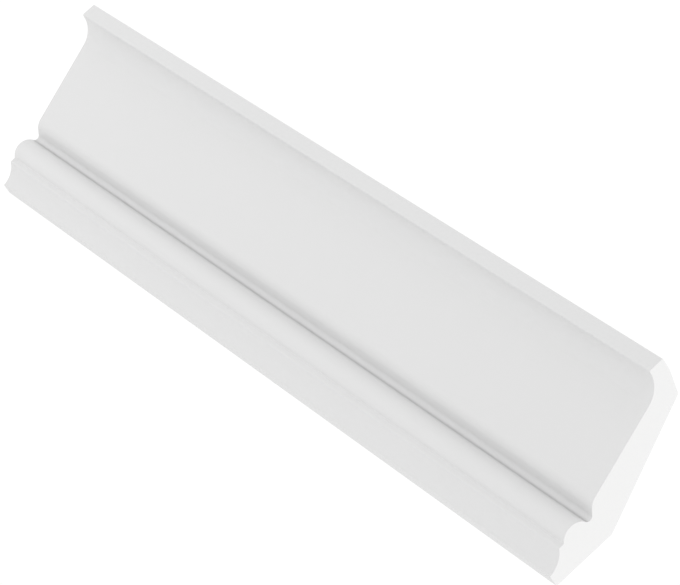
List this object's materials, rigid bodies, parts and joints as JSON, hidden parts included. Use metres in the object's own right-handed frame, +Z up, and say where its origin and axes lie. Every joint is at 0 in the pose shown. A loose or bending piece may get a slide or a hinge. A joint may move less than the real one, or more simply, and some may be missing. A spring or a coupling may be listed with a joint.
{
  "type": "crown moulding length",
  "caption": "Straight length of white crown moulding with a lip, cove, long sloping face, quirk, bead and cavetto, cut square at both ends.",
  "frame": {"origin": "middle of the flat face that lies on the wall: half way along the length and half way up that face", "axes": "+X along the length, +Y into the wall (out of the wall face), +Z up to the ceiling"},
  "size_m": [0.645, 0.065, 0.117],
  "materials": {
    "primed_foam": "smooth matte white primer over rigid white foam"
  },
  "bodies": {
    "root": {"crown_moulding": "primed_foam"}
  },
  "joints": []
}
